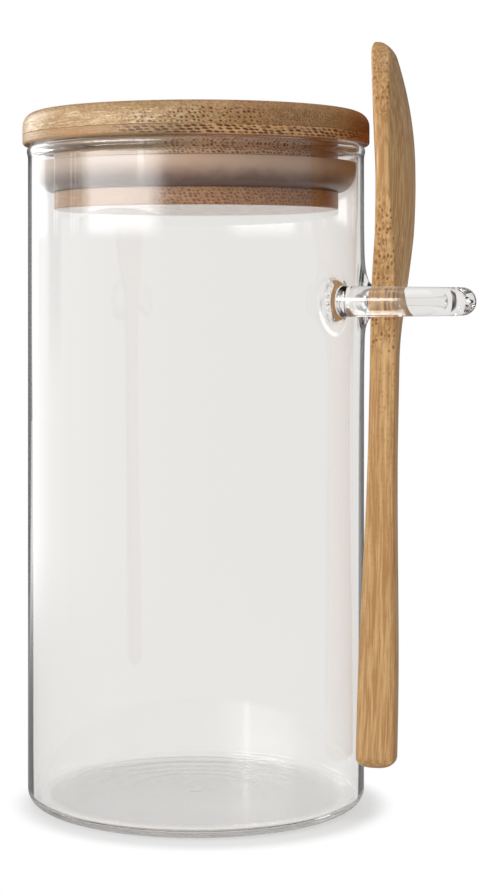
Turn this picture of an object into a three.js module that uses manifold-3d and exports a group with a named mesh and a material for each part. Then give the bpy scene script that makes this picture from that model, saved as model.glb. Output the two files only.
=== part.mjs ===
// Storage jar: glass cylinder with a welded rod loop, a bamboo lid with a silicone seal,
// and a bamboo spoon that hangs through the loop.
// Millimetres, +Z up. The origin is the middle of the jar's flat underside.
// The loop and the spoon are on the +X side, turned a little towards -Y.

import * as THREE from 'three';
import { mergeVertices } from 'three/addons/utils/BufferGeometryUtils.js';
import Module from 'manifold-3d';

const wasm = await Module();
wasm.setup();

// Fits
const seatGap = 0.3;
const plugGap = 5;
const loopSlack = 1.85;
const spoonGap = 0.2;
const cutOverrun = 5;

// Glass jar
const jarRadius = 42.5;
const rimAboveLoop = 38.9;
const wallThickness = 1.5;
const floorThickness = 3;
const heelRadius = 4.5;
const floorFillet = 2.5;
const rimThickness = 2.1;
const rimHeight = 3.2;

// Rod loop
const rodRadius = 3.6;
const loopGapLength = 22.5;
const loopAzimuth = THREE.MathUtils.degToRad(69);
const weldFlare = 2.8;
const weldLength = 3.4;

// Lid cap
const capOverhang = 1.4;
const capLowerThickness = 2.45;
const capUpperThickness = 5.8;
const capTopRounding = 3.5;
const capBottomRounding = 0.8;

// Lid plug and seal
const neckHeight = 4.2;
const grooveDepth = 3.5;
const grooveHeight = 7.6;
const flangeHeight = 4.4;
const plugEdgeRounding = 0.5;
const sealFootInset = 0.4;
const sealLipThickness = 1.4;

// Spoon
const spoonLength = 177.5;
const spoonEndHeight = 12.3;
const spoonTipRise = 63.8;
const handleWidth = 10;
const handleThickness = 6.5;
const handleCrown = 0.6;
const gripThickness = 9.3;
const gripLength = 12;
const gripTaperLength = 72;
const bowlWidth = 31;
const bowlTipLength = 32;
const bowlShoulderLength = 49;
const bowlWallThickness = 3.6;
const bowlThinningLength = 36;
const tipThickness = 5;
const tipInset = 2.1;
const tipBendLength = 48;
const backBulge = 5.7;
const backRiseLength = 46;
const hollowDepth = 6.2;
const hollowRim = 2.6;
const hollowTipMargin = 6;
const hollowLength = 48;
const spoonEdgeRounding = 0.9;
const spoonTipRounding = 4.2;
const spoonEndRounding = 3;
const spoonSideShift = 3.35;
const spoonTurn = THREE.MathUtils.degToRad(14);
const spoonLean = THREE.MathUtils.degToRad(1.12);
const spoonSideLean = THREE.MathUtils.degToRad(1.4);

// Fineness of the round shapes
const roundSteps = 64;
const arcSteps = 5;
const rodSides = 14;
const rodSteps = 30;
const spoonSteps = 36;

// Place along the spoon where its bowl is widest
const bowlWidest = spoonLength - bowlTipLength;

// Loop that the spoon's shoulder hangs in, with the spoon's end just above the table
const spoonSeat = spoonLength - spoonTipRise;
const loopHeight = spoonEndHeight + spoonSeat;
const loopGapWidth = 2 * spoonHalfWidth(spoonSeat) + loopSlack;
const loopBendRadius = loopGapWidth / 2 + rodRadius;
const loopReach = jarRadius + loopGapLength - loopGapWidth / 2;
const weldRadius = rodRadius + weldFlare;

// Heights of the jar and the lid
const jarHeight = loopHeight + rimAboveLoop;
const capBottom = jarHeight + seatGap;
const capSeam = capBottom + capLowerThickness;
const capTop = capSeam + capUpperThickness;
const neckBottom = capBottom - neckHeight;
const grooveBottom = neckBottom - grooveHeight;
const flangeBottom = grooveBottom - flangeHeight;

// Radii of the jar's bore and the lid
const boreRadius = jarRadius - wallThickness;
const capRadius = jarRadius + capOverhang;
const plugRadius = boreRadius - plugGap;
const coreRadius = plugRadius - grooveDepth;
const sealFootRadius = plugRadius - sealFootInset;

// Points of an arc in a profile, with its angles in quarter turns from +X
function arcPoints(centreX, centreY, radius, fromQuarter, toQuarter) {
  const points = [];
  for (let step = 0; step <= arcSteps; step += 1) {
    const quarter = fromQuarter + (toQuarter - fromQuarter) * step / arcSteps;
    const angle = quarter * Math.PI / 2;
    const x = centreX + radius * Math.cos(angle);
    const y = centreY + radius * Math.sin(angle);
    points.push(new THREE.Vector2(x, y));
  }
  return points;
}

// Body turned about Z from a profile of radius and height, drawn up the outside
function turned(points) {
  const geometry = new THREE.LatheGeometry(points, roundSteps);
  return geometry.rotateX(Math.PI / 2);
}

// The same mesh with each shared corner stored once and no empty triangle
function welded(geometry) {
  const bare = geometry.clone();
  bare.deleteAttribute('normal');
  bare.deleteAttribute('uv');
  const merged = mergeVertices(bare);
  const index = merged.index.array;
  const kept = [];
  for (let i = 0; i < index.length; i += 3) {
    const [a, b, c] = [index[i], index[i + 1], index[i + 2]];
    if (a !== b && b !== c && c !== a) kept.push(a, b, c);
  }
  merged.setIndex(kept);
  return merged;
}

function toSolid(geometry) {
  const merged = welded(geometry);
  const vertProperties = new Float32Array(merged.attributes.position.array);
  const triVerts = new Uint32Array(merged.index.array);
  return new wasm.Manifold(new wasm.Mesh({ numProp: 3, vertProperties, triVerts }));
}

function fromSolid(solid) {
  const mesh = solid.getMesh();
  const geometry = new THREE.BufferGeometry();
  geometry.setAttribute('position', new THREE.BufferAttribute(mesh.vertProperties, 3));
  geometry.setIndex(new THREE.BufferAttribute(mesh.triVerts, 1));
  geometry.computeVertexNormals();
  return geometry;
}

function glassMaterial() {
  return new THREE.MeshStandardMaterial({
    color: 0xe8efec, roughness: 0.03, metalness: 0, transparent: true, opacity: 0.35,
  });
}

function bambooMaterial(color) {
  return new THREE.MeshStandardMaterial({ color, roughness: 0.55, metalness: 0 });
}

function siliconeMaterial() {
  return new THREE.MeshStandardMaterial({ color: 0xe6e2de, roughness: 0.4, metalness: 0 });
}

function namedMesh(name, geometry, material) {
  const mesh = new THREE.Mesh(geometry, material);
  mesh.name = name;
  return mesh;
}

function jarProfile() {
  const rimRadius = rimThickness / 2;
  const rimCentre = jarRadius - wallThickness / 2;
  const rimTop = jarHeight - rimRadius;
  return [
    new THREE.Vector2(0, 0),
    ...arcPoints(jarRadius - heelRadius, heelRadius, heelRadius, 3, 4),
    new THREE.Vector2(jarRadius, jarHeight - rimHeight),
    ...arcPoints(rimCentre, rimTop, rimRadius, 0, 2),
    new THREE.Vector2(boreRadius, jarHeight - rimHeight),
    ...arcPoints(boreRadius - floorFillet, floorThickness + floorFillet, floorFillet, 4, 3),
    new THREE.Vector2(0, floorThickness),
  ];
}

function glassBody() {
  return namedMesh('glass_body', turned(jarProfile()), glassMaterial());
}

// Flat U of the loop's middle line: out along one leg, round the bend, back along the other
class LoopLine extends THREE.Curve {
  constructor(reach, bendRadius) {
    super();
    this.reach = reach;
    this.bendRadius = bendRadius;
  }

  getPoint(t, target = new THREE.Vector3()) {
    const bendLength = Math.PI * this.bendRadius;
    const along = t * (2 * this.reach + bendLength);
    if (along < this.reach) return target.set(along, -this.bendRadius, 0);
    if (along > this.reach + bendLength) {
      return target.set(2 * this.reach + bendLength - along, this.bendRadius, 0);
    }
    const angle = (along - this.reach) / this.bendRadius - Math.PI / 2;
    const x = this.reach + this.bendRadius * Math.cos(angle);
    return target.set(x, this.bendRadius * Math.sin(angle), 0);
  }
}

function rodSection() {
  const section = new THREE.Shape();
  section.absarc(0, 0, rodRadius, 0, 2 * Math.PI, false);
  return section;
}

// Where a leg's middle line meets the outside of the jar, measured out along the leg
function legStart() {
  return Math.sqrt(jarRadius ** 2 - loopBendRadius ** 2);
}

// Glass drawn out round a foot of the rod, hollow-sided like a fillet
function weldCollar(side) {
  const start = legStart();
  const points = [new THREE.Vector2(0, start - cutOverrun)];
  points.push(new THREE.Vector2(weldRadius, start - cutOverrun));
  for (let step = 0; step <= arcSteps; step += 1) {
    const angle = step / arcSteps * Math.PI / 2;
    const radius = weldRadius - weldFlare * Math.sin(angle);
    points.push(new THREE.Vector2(radius, start + weldLength * (1 - Math.cos(angle))));
  }
  points.push(new THREE.Vector2(0, start + weldLength));
  const collar = new THREE.LatheGeometry(points, rodSides);
  collar.rotateZ(-Math.PI / 2);
  collar.translate(0, side * loopBendRadius, 0);
  return collar;
}

// Turns a piece made along +X to the side of the jar that the loop is on
function onLoopSide(piece) {
  piece.rotation.z = loopAzimuth - Math.PI / 2;
  return piece;
}

function spoonLoop() {
  const line = new LoopLine(loopReach, loopBendRadius);
  const rod = new THREE.ExtrudeGeometry(rodSection(), {
    extrudePath: line, steps: rodSteps * 2, curveSegments: rodSides,
  });
  const core = new THREE.CylinderGeometry(
    jarRadius + seatGap, jarRadius + seatGap, weldRadius * 4, roundSteps);
  core.rotateX(Math.PI / 2);
  core.rotateZ(-(loopAzimuth - Math.PI / 2));
  const loop = toSolid(rod)
    .add(toSolid(weldCollar(-1)))
    .add(toSolid(weldCollar(1)))
    .subtract(toSolid(core));
  const mesh = namedMesh('spoon_loop', fromSolid(loop), glassMaterial());
  mesh.position.z = loopHeight;
  return onLoopSide(mesh);
}

function capUpperPly() {
  const points = [
    new THREE.Vector2(0, capSeam),
    new THREE.Vector2(capRadius, capSeam),
    ...arcPoints(capRadius - capTopRounding, capTop - capTopRounding, capTopRounding, 0, 1),
    new THREE.Vector2(0, capTop),
  ];
  return namedMesh('lid_cap_upper_ply', turned(points), bambooMaterial(0xb98a5e));
}

function capLowerPly() {
  const lowCentre = capBottom + capBottomRounding;
  const points = [
    new THREE.Vector2(0, capBottom),
    ...arcPoints(capRadius - capBottomRounding, lowCentre, capBottomRounding, 3, 4),
    new THREE.Vector2(capRadius, capSeam),
    new THREE.Vector2(0, capSeam),
  ];
  return namedMesh('lid_cap_lower_ply', turned(points), bambooMaterial(0xa9794f));
}

function plugNeck() {
  const points = [
    new THREE.Vector2(0, grooveBottom),
    new THREE.Vector2(coreRadius, grooveBottom),
    new THREE.Vector2(coreRadius, neckBottom),
    new THREE.Vector2(plugRadius, neckBottom),
    new THREE.Vector2(plugRadius, capBottom),
    new THREE.Vector2(0, capBottom),
  ];
  return namedMesh('lid_plug_neck', turned(points), bambooMaterial(0xab7d57));
}

function plugFlange() {
  const edge = plugEdgeRounding;
  const points = [
    new THREE.Vector2(0, flangeBottom),
    ...arcPoints(plugRadius - edge, flangeBottom + edge, edge, 3, 4),
    ...arcPoints(plugRadius - edge, grooveBottom - edge, edge, 0, 1),
    new THREE.Vector2(0, grooveBottom),
  ];
  return namedMesh('lid_plug_flange', turned(points), bambooMaterial(0xb58660));
}

// Ring with a lip that swells out to the glass at the top and draws in below
function sealRing() {
  const top = neckBottom - seatGap;
  const bottom = grooveBottom + seatGap;
  const lipRadius = boreRadius - seatGap;
  const lipBottom = top - sealLipThickness;
  const points = [new THREE.Vector2(coreRadius + seatGap, bottom)];
  for (let step = 0; step <= arcSteps; step += 1) {
    const angle = step / arcSteps * Math.PI / 2;
    const radius = sealFootRadius + (lipRadius - sealFootRadius) * Math.sin(angle);
    points.push(new THREE.Vector2(radius, lipBottom - (lipBottom - bottom) * Math.cos(angle)));
  }
  points.push(new THREE.Vector2(lipRadius, top));
  points.push(new THREE.Vector2(coreRadius + seatGap, top));
  points.push(points[0].clone());
  return namedMesh('seal_ring', turned(points), siliconeMaterial());
}

// Smooth step from 0 to 1 as a value passes from one place to another
function eased(value, from, to) {
  return THREE.MathUtils.smoothstep(value, from, to);
}

// How full a rounded end is at a distance in from it
function endFullness(distance, rounding) {
  const share = THREE.MathUtils.clamp(1 - distance / rounding, 0, 1);
  return Math.sqrt(1 - share ** 2);
}

function spoonHalfWidth(along) {
  if (along > bowlWidest) {
    return bowlWidth / 2 * endFullness(spoonLength - along, bowlTipLength);
  }
  const shoulder = eased(along, bowlWidest - bowlShoulderLength, bowlWidest);
  const swelling = (bowlWidth - handleWidth) / 2 * shoulder;
  return (handleWidth / 2 + swelling) * endFullness(along, spoonEndRounding);
}

// Share of the way from the widest place to the tip
function tipShare(along) {
  return THREE.MathUtils.clamp((along - bowlWidest) / bowlTipLength, 0, 1);
}

function spoonSideThickness(along) {
  const grip = 1 - eased(along, gripLength, gripLength + gripTaperLength);
  const handle = handleThickness + (gripThickness - handleThickness) * grip;
  const thinning = eased(along, bowlWidest - bowlThinningLength, bowlWidest);
  const wall = handle + (bowlWallThickness - handleThickness) * thinning;
  return wall + (tipThickness - bowlWallThickness) * tipShare(along);
}

// How far the side's middle line stands off the handle's straight middle line
function spoonBow(along) {
  const bendShare = Math.max(1 - (spoonLength - along) / tipBendLength, 0);
  return -tipInset * bendShare;
}

function spoonBackBulge(along) {
  const rise = eased(along, bowlWidest - backRiseLength, bowlWidest);
  const crown = handleCrown + (backBulge - handleCrown) * rise;
  return crown * (1 - tipShare(along) ** 2);
}

// Depth of the hollow under the rim plane, a spoonful between two ends and two rims
function spoonHollow(along, across) {
  const top = spoonLength - hollowTipMargin;
  const middle = top - hollowLength / 2;
  const lengthShare = (along - middle) / (hollowLength / 2);
  const halfWidth = spoonHalfWidth(along) - hollowRim;
  const widthShare = across / Math.max(halfWidth, hollowRim);
  const fullness = 1 - lengthShare ** 2 - widthShare ** 2;
  return hollowDepth * Math.max(fullness, 0);
}

// One closed ring round the spoon at a distance along it: back, then the hollow side
function spoonRing(along) {
  const halfWidth = spoonHalfWidth(along);
  const endShare = endFullness(along, spoonEndRounding);
  const tipEndShare = endFullness(spoonLength - along, spoonTipRounding);
  const fullHalf = spoonSideThickness(along) / 2;
  const halfThickness = fullHalf * Math.min(endShare, tipEndShare);
  const middle = spoonBow(along) - fullHalf * (1 - tipEndShare) / 2;
  const edge = Math.min(spoonEdgeRounding, halfWidth / 2, halfThickness / 2);
  const bulge = spoonBackBulge(along) * endShare;
  const acrossShares = [-1, -0.8, -0.55, -0.28, 0, 0.28, 0.55, 0.8, 1];
  const flatHalf = halfWidth - edge;
  const ring = [];
  for (const share of acrossShares) {
    const crown = bulge * (1 - share ** 2);
    ring.push([middle + halfThickness + crown, share * flatHalf]);
  }
  ring.push([middle + halfThickness - edge, halfWidth]);
  ring.push([middle - halfThickness + edge, halfWidth]);
  for (const share of [...acrossShares].reverse()) {
    const hollow = spoonHollow(along, share * flatHalf);
    ring.push([middle - halfThickness + hollow, share * flatHalf]);
  }
  ring.push([middle - halfThickness + edge, -halfWidth]);
  ring.push([middle + halfThickness - edge, -halfWidth]);
  return ring.map(([x, y]) => new THREE.Vector3(x, y, along));
}

// Distances along the spoon, closer together where the ends round off
function spoonStations() {
  const stations = [];
  for (let step = 0; step <= spoonSteps; step += 1) {
    const share = (1 - Math.cos(Math.PI * step / spoonSteps)) / 2;
    stations.push(share * spoonLength);
  }
  return stations;
}

// Skin over a row of rings of equal counts, closed by a point at each end
function lofted(rings) {
  const count = rings[0].length;
  const positions = rings.flat().flatMap((point) => point.toArray());
  const index = [];
  for (let row = 0; row + 1 < rings.length; row += 1) {
    for (let i = 0; i < count; i += 1) {
      const a = row * count + i;
      const b = row * count + (i + 1) % count;
      index.push(a, b, a + count);
      index.push(b, b + count, a + count);
    }
  }
  const geometry = new THREE.BufferGeometry();
  geometry.setAttribute('position', new THREE.Float32BufferAttribute(positions, 3));
  geometry.setIndex(index);
  return geometry;
}

// Where the spoon's end stands, out from the jar's axis, for its nearest corner to clear the glass
function spoonEndReach() {
  const [along, across] = [Math.cos(spoonTurn), Math.sin(spoonTurn)];
  const flatHalf = handleWidth / 2 - spoonEdgeRounding;
  const cornerInset = gripThickness / 2 * along + flatHalf * across;
  const cornerSide = flatHalf * along - gripThickness / 2 * across - spoonSideShift;
  return Math.sqrt((jarRadius + spoonGap) ** 2 - cornerSide ** 2) + cornerInset;
}

function spoon() {
  const skin = lofted(spoonStations().map(spoonRing));
  const geometry = welded(skin);
  geometry.computeVertexNormals();
  const mesh = namedMesh('spoon', geometry, bambooMaterial(0xb8895a));
  mesh.rotation.set(-spoonSideLean, spoonLean, 0);
  const turn = new THREE.Group();
  turn.rotation.z = spoonTurn;
  turn.position.set(spoonEndReach(), -spoonSideShift, spoonEndHeight);
  turn.add(mesh);
  return onLoopSide(new THREE.Group().add(turn));
}

const group = new THREE.Group();
group.add(glassBody());
group.add(spoonLoop());
group.add(capLowerPly());
group.add(capUpperPly());
group.add(plugNeck());
group.add(plugFlange());
group.add(sealRing());
group.add(spoon());

export default group;
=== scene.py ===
# Looks of the storage jar: one fused glass jar with its rod loop, a bamboo lid with a silicone
# seal, and a bamboo spoon that hangs in the loop.
# Lengths are millimetres, and each mesh is scaled to metres as it is made. Only the floor, the
# lamps and the camera are written in metres.

import math

import bmesh
import bpy
from mathutils import Matrix, Vector


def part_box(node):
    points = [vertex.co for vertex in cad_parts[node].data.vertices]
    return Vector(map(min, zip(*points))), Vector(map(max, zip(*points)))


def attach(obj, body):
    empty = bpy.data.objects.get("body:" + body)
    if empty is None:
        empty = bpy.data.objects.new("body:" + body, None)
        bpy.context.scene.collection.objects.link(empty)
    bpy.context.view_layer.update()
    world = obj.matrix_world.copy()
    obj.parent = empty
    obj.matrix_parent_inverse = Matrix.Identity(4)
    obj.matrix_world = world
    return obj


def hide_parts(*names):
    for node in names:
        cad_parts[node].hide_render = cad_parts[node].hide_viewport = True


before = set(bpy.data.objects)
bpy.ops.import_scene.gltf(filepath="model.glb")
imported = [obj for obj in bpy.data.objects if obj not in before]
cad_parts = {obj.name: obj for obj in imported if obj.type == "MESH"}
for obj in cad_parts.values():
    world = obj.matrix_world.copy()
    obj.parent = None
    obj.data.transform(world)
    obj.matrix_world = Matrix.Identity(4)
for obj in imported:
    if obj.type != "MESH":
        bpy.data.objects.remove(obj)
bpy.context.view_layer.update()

MM = 0.001
PER_METRE = 1000.0


def node_box(node):
    """Lowest and highest corner of a CAD node at rest, in millimetres."""
    low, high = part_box(node)
    return low * PER_METRE, high * PER_METRE


# Places read from the frame
_, jar_high = node_box("glass_body")
loop_low, loop_high = node_box("spoon_loop")
upper_low, upper_high = node_box("lid_cap_upper_ply")
lower_low, lower_high = node_box("lid_cap_lower_ply")
neck_low, neck_high = node_box("lid_plug_neck")
flange_low, flange_high = node_box("lid_plug_flange")
seal_low, seal_high = node_box("seal_ring")
spoon_low, _ = node_box("spoon")

# Glass jar
bead_swell = 0.3
seat_gap = 0.3
wall_thickness = 1.5
floor_thickness = 2.4
heel_radius = 3.6
floor_fillet = 1.2
rim_radius = 1.05
rim_height = 3.2
underside_radii = (0.5, 1.0, 1.5, 2.0, 3.0, 6.0, 12.0, 18.0, 24.0, 28.0, 32.0, 36.0)
push_up_radius = 30.0
push_up_height = 0.35
nub_radius = 1.6
nub_height = 0.3
hub_radius = 2.0
ring_inner = 13.0
ring_outer = 36.5
ring_fade_in = 3.0
ring_fade_out = 2.0
ring_margin = 0.5
ring_side = (-0.35, 0.4)
ring_spacing = 4.9
ring_height = 0.028
clear_heel = 2.0
dark_heel = 2.2
jar_radius = jar_high.x - bead_swell
jar_height = lower_low.z - seat_gap
bore_radius = jar_radius - wall_thickness

# Rod loop
loop_turn = math.radians(-21)
loop_height = (loop_low.z + loop_high.z) / 2
leg_offset = 12.5
loop_reach = 56.1
foot_rod_radius = 3.72
bend_rod_radius = 3.45
weld_spread = 4.6
weld_tear = 4.2
weld_drop = 1.4
weld_length = 3.4
weld_spread_power = 1.25
weld_out_power = 1.1
tear_power = 3
drop_power = 2
wall_swell = 0.35
swell_width = 6.0
swell_height = 13.0

# Lid
cap_top_rounding = 3.5
cap_bottom_rounding = 0.8
seam_bevel = 0.12
seam_margin = 1.0
face_margin = 0.4
plug_radius = neck_high.x
core_radius = 32.5
neck_chamfer = 0.25
neck_top_inset = 0.15
neck_top_drop = 0.3
flange_rounding = 0.5
flange_margin = 0.3
seal_gap = 0.08
seal_foot_radius = 36.0
seal_lip_thickness = 1.4
seal_lip_chamfer = 0.35
seal_lip_corner = 0.1
seal_top_margin = 2.0

# Spoon
spoon_length = 177.5
spoon_end_height = spoon_low.z
handle_width = 10.0
handle_thickness = 6.5
handle_crown = 0.6
grip_thickness = 9.3
grip_length = 12.0
grip_taper_length = 72.0
bowl_width = 31.0
bowl_tip_length = 32.0
bowl_shoulder_length = 49.0
bowl_wall_thickness = 3.6
bowl_thinning_length = 36.0
tip_thickness = 5.0
tip_inset = 2.1
tip_bend_length = 48.0
back_bulge = 5.7
back_rise_length = 46.0
hollow_depth = 6.2
hollow_rim = 2.6
hollow_tip_margin = 6.0
hollow_length = 48.0
spoon_edge_rounding = 0.9
spoon_tip_rounding = 4.2
spoon_end_rounding = 3.0
spoon_reach = 48.2
spoon_side_shift = 3.35
spoon_turn = math.radians(14)
spoon_lean = math.radians(1.12)
spoon_side_lean = math.radians(1.4)
bowl_widest = spoon_length - bowl_tip_length

# Fineness of the meshes
wall_columns = 256
patch_cells = 18
patch_column = 12
patch_half_height = 14.0
wall_steps = 8
tall_wall_steps = 12
floor_steps = 72
turned_columns = 240
arc_steps = 8
flange_arc_steps = 5
edge_steps = 4
patch_blend_steps = 4
weld_steps = 12
leg_steps = 12
bend_steps = 40
spoon_stations = 150
spoon_across = 24
jar_sharp_degrees = 60.0
spoon_sharp_degrees = 50.0
level_tolerance = 0.001


class Skin:
    """Points and faces of one mesh as it grows."""

    def __init__(self):
        self.points = []
        self.faces = []

    def ring(self, points):
        start = len(self.points)
        self.points.extend(points)
        return list(range(start, len(self.points)))

    def bridge(self, first, second, left_out=()):
        count = len(first)
        for i in range(count):
            if i in left_out:
                continue
            after = (i + 1) % count
            self.faces.append((first[i], first[after], second[after], second[i]))

    def join(self, rings):
        for first, second in zip(rings, rings[1:]):
            self.bridge(first, second)

    def close(self, ring, point):
        pole = self.ring([point])[0]
        for i, corner in enumerate(ring):
            self.faces.append((corner, ring[(i + 1) % len(ring)], pole))


def add_object(name, data):
    piece = bpy.data.objects.new(name, data)
    bpy.context.collection.objects.link(piece)
    return piece


def make_piece(name, skin, turn=0.0, sharp_degrees=35.0):
    """Mesh object of a skin, turned about Z, with smooth faces and sharp corners."""
    mesh = bpy.data.meshes.new(name)
    matrix = Matrix.Rotation(turn, 4, "Z") @ Matrix.Scale(MM, 4)
    mesh.from_pydata([matrix @ Vector(point) for point in skin.points], [], skin.faces)
    work = bmesh.new()
    work.from_mesh(mesh)
    bmesh.ops.recalc_face_normals(work, faces=work.faces)
    limit = math.radians(sharp_degrees)
    for face in work.faces:
        face.smooth = True
    for edge in work.edges:
        edge.smooth = edge.calc_face_angle(0.0) < limit
    work.to_mesh(mesh)
    work.free()
    return add_object(name, mesh)


def arc(centre, radius, from_quarter, to_quarter, steps=arc_steps):
    """Points of an arc in a profile, with its angles in quarter turns from +X."""
    points = []
    for step in range(steps + 1):
        quarter = from_quarter + (to_quarter - from_quarter) * step / steps
        angle = quarter * math.pi / 2
        points.append((centre[0] + radius * math.cos(angle),
                       centre[1] + radius * math.sin(angle)))
    return points


def between(start, end, steps):
    """Points from start to end, without start itself."""
    return [tuple(a + (b - a) * step / steps for a, b in zip(start, end))
            for step in range(1, steps + 1)]


def eased(value, start, end):
    """Smooth share from 0 at the start to 1 at the end."""
    share = min(max((value - start) / (end - start), 0.0), 1.0)
    return share * share * (3 - 2 * share)


def shares(steps):
    """Even shares of 1, from the first step to 1 itself."""
    return [step / steps for step in range(1, steps + 1)]


def circle(radius, height, columns=turned_columns):
    step = 2 * math.pi / columns
    return [(radius * math.cos(i * step), radius * math.sin(i * step), height)
            for i in range(columns)]


def turned_piece(name, profile):
    """Solid turned about Z from a profile whose two ends lie on the axis."""
    skin = Skin()
    rings = [skin.ring(circle(radius, height)) for radius, height in profile[1:-1]]
    skin.join(rings)
    skin.close(rings[0], (0, 0, profile[0][1]))
    skin.close(rings[-1], (0, 0, profile[-1][1]))
    return make_piece(name, skin)


def turned_band(name, profile):
    """Ring turned about Z from a closed profile."""
    skin = Skin()
    rings = [skin.ring(circle(radius, height)) for radius, height in profile]
    skin.join(rings + rings[:1])
    return make_piece(name, skin)


# Glass jar and rod loop, fused


def underside():
    """Half profile of the underside, from near the axis to the heel."""
    rows = []
    for radius in underside_radii:
        hollow = push_up_height * (1 - eased(radius, 0.0, push_up_radius))
        nub = nub_height * (1 - eased(radius, 0.0, nub_radius))
        rows.append((radius, hollow - nub))
    return rows


def outer_wall_rows():
    """Profile of the outer wall from heel to rim, and its row where the feet's cells start."""
    half = patch_half_height
    rows = arc((jar_radius - heel_radius, heel_radius), heel_radius, 3, 4)
    rows += between(rows[-1], (jar_radius, loop_height - 2 * half), wall_steps)
    rows += between(rows[-1], (jar_radius, loop_height - half), wall_steps)
    patch_row = len(rows) - 1
    rows += between(rows[-1], (jar_radius, loop_height + half), patch_cells)
    rows += between(rows[-1], (jar_radius, jar_height - rim_height), tall_wall_steps)
    return rows, patch_row


def rim_rows():
    """Profile of the fire-polished rim, with its bead, from the outer wall to the bore."""
    centre = (jar_radius - wall_thickness / 2, jar_height - rim_radius)
    outside = []
    for step in range(1, arc_steps):
        height = jar_height - rim_height + (rim_height - rim_radius) * step / arc_steps
        swell = bead_swell * eased(height, jar_height - rim_height, jar_height - rim_radius)
        outside.append((jar_radius + swell, height))
    inside = [(2 * centre[0] - radius, height) for radius, height in reversed(outside)]
    return outside + arc(centre, rim_radius, 0, 2, 2 * arc_steps) + inside


def inner_rows():
    """Profile of the inside, down the bore and across the floor to its hub."""
    corner = (bore_radius - floor_fillet, floor_thickness + floor_fillet)
    rows = [(bore_radius, jar_height - rim_height)]
    rows += between(rows[0], (bore_radius, corner[1]), tall_wall_steps)[:-1]
    rows += arc(corner, floor_fillet, 4, 3)
    rows += between(rows[-1], (hub_radius, floor_thickness), floor_steps)
    return rows


def square_rim(rings, patch_row, side):
    """Corners round the square of wall cells at a foot, from the low one nearest the middle."""
    near, far = patch_column - patch_cells // 2, patch_column + patch_cells // 2
    low, high = patch_row, patch_row + patch_cells
    places = [(row, near) for row in range(low, high)]
    places += [(high, column) for column in range(near, far)]
    places += [(row, far) for row in range(high, low, -1)]
    places += [(low, column) for column in range(far, near, -1)]
    return [rings[row][side * column % wall_columns] for row, column in places]


def round_angle(i):
    """Angle round the rod, from the side nearest the loop's middle."""
    return 2 * math.pi * i / (4 * patch_cells) - math.pi / 4


def wall_reach(across):
    """How far out the wall is at a distance across from the loop's middle plane."""
    return math.sqrt(jar_radius ** 2 - across ** 2)


def foot_ring(side, radius, out, tear=0.0):
    """Ring round a leg's middle line, all of it the same distance out from the wall, and drawn
    up to a tear."""
    points = []
    drop = tear * weld_drop / weld_tear
    for i in range(4 * patch_cells):
        rise = math.sin(round_angle(i))
        across = side * (leg_offset - radius * math.cos(round_angle(i)))
        pull = tear * max(rise, 0.0) ** tear_power + drop * max(-rise, 0.0) ** drop_power
        height = loop_height + (radius + pull) * rise
        points.append((wall_reach(across) + out, across, height))
    return points


def rod_radius(share):
    """Radius of the rod, thinner at the bend: 0 is a foot, and 1 the middle of the bend."""
    return foot_rod_radius + (bend_rod_radius - foot_rod_radius) * eased(share, 0.0, 1.0)


def leg_ring(side, radius, out, flatness):
    """Ring round a leg that turns from the wall's curve to a flat cross-section."""
    centre = wall_reach(leg_offset) + out
    return [(x + (centre - x) * flatness, y, z) for x, y, z in foot_ring(side, radius, out)]


def bend_ring(share):
    turn = math.pi * (share - 0.5)
    radius = rod_radius(0.5 + min(share, 1 - share))
    points = []
    for i in range(4 * patch_cells):
        reach = leg_offset - radius * math.cos(round_angle(i))
        height = loop_height + radius * math.sin(round_angle(i))
        points.append((loop_reach + reach * math.cos(turn), reach * math.sin(turn), height))
    return points


def foot_rings(skin, rim, side):
    """Rings from the square in the wall, through the weld and out along a leg."""
    outer = foot_ring(side, foot_rod_radius + weld_spread, 0.0, weld_tear)
    corners = [skin.points[i] for i in rim]
    rings = [rim]
    for share in shares(patch_blend_steps):
        points = []
        for corner, goal in zip(corners, outer):
            across = corner[1] + (goal[1] - corner[1]) * share
            height = corner[2] + (goal[2] - corner[2]) * share
            points.append((wall_reach(across), across, height))
        rings.append(skin.ring(points))
    for share in shares(weld_steps):
        angle = share * math.pi / 2
        spread = (1 - math.sin(angle)) ** weld_spread_power
        out = weld_length * (1 - math.cos(angle)) ** weld_out_power
        radius = foot_rod_radius + weld_spread * spread
        rings.append(skin.ring(foot_ring(side, radius, out, weld_tear * spread)))
    leg_length = loop_reach - wall_reach(leg_offset)
    for share in shares(leg_steps):
        out = weld_length + (leg_length - weld_length) * share
        rings.append(skin.ring(leg_ring(side, rod_radius(share / 2), out, share)))
    return rings


def ripple_floor(skin):
    """Faint pressing rings in the inner floor, strongest on the side away from the camera."""
    flat_radius = bore_radius - floor_fillet - ring_margin
    for i, (x, y, z) in enumerate(skin.points):
        reach = math.hypot(x, y)
        if abs(z - floor_thickness) > level_tolerance or reach > flat_radius:
            continue
        turn = math.atan2(y, x) + loop_turn - math.pi / 2
        side = eased(math.cos(turn), *ring_side)
        fade = eased(reach, ring_inner, ring_inner + ring_fade_in)
        fade *= 1 - eased(reach, ring_outer, ring_outer + ring_fade_out)
        wave = math.cos(2 * math.pi * (reach - ring_outer) / ring_spacing)
        skin.points[i] = (x, y, z + ring_height * wave * side * fade)


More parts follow.
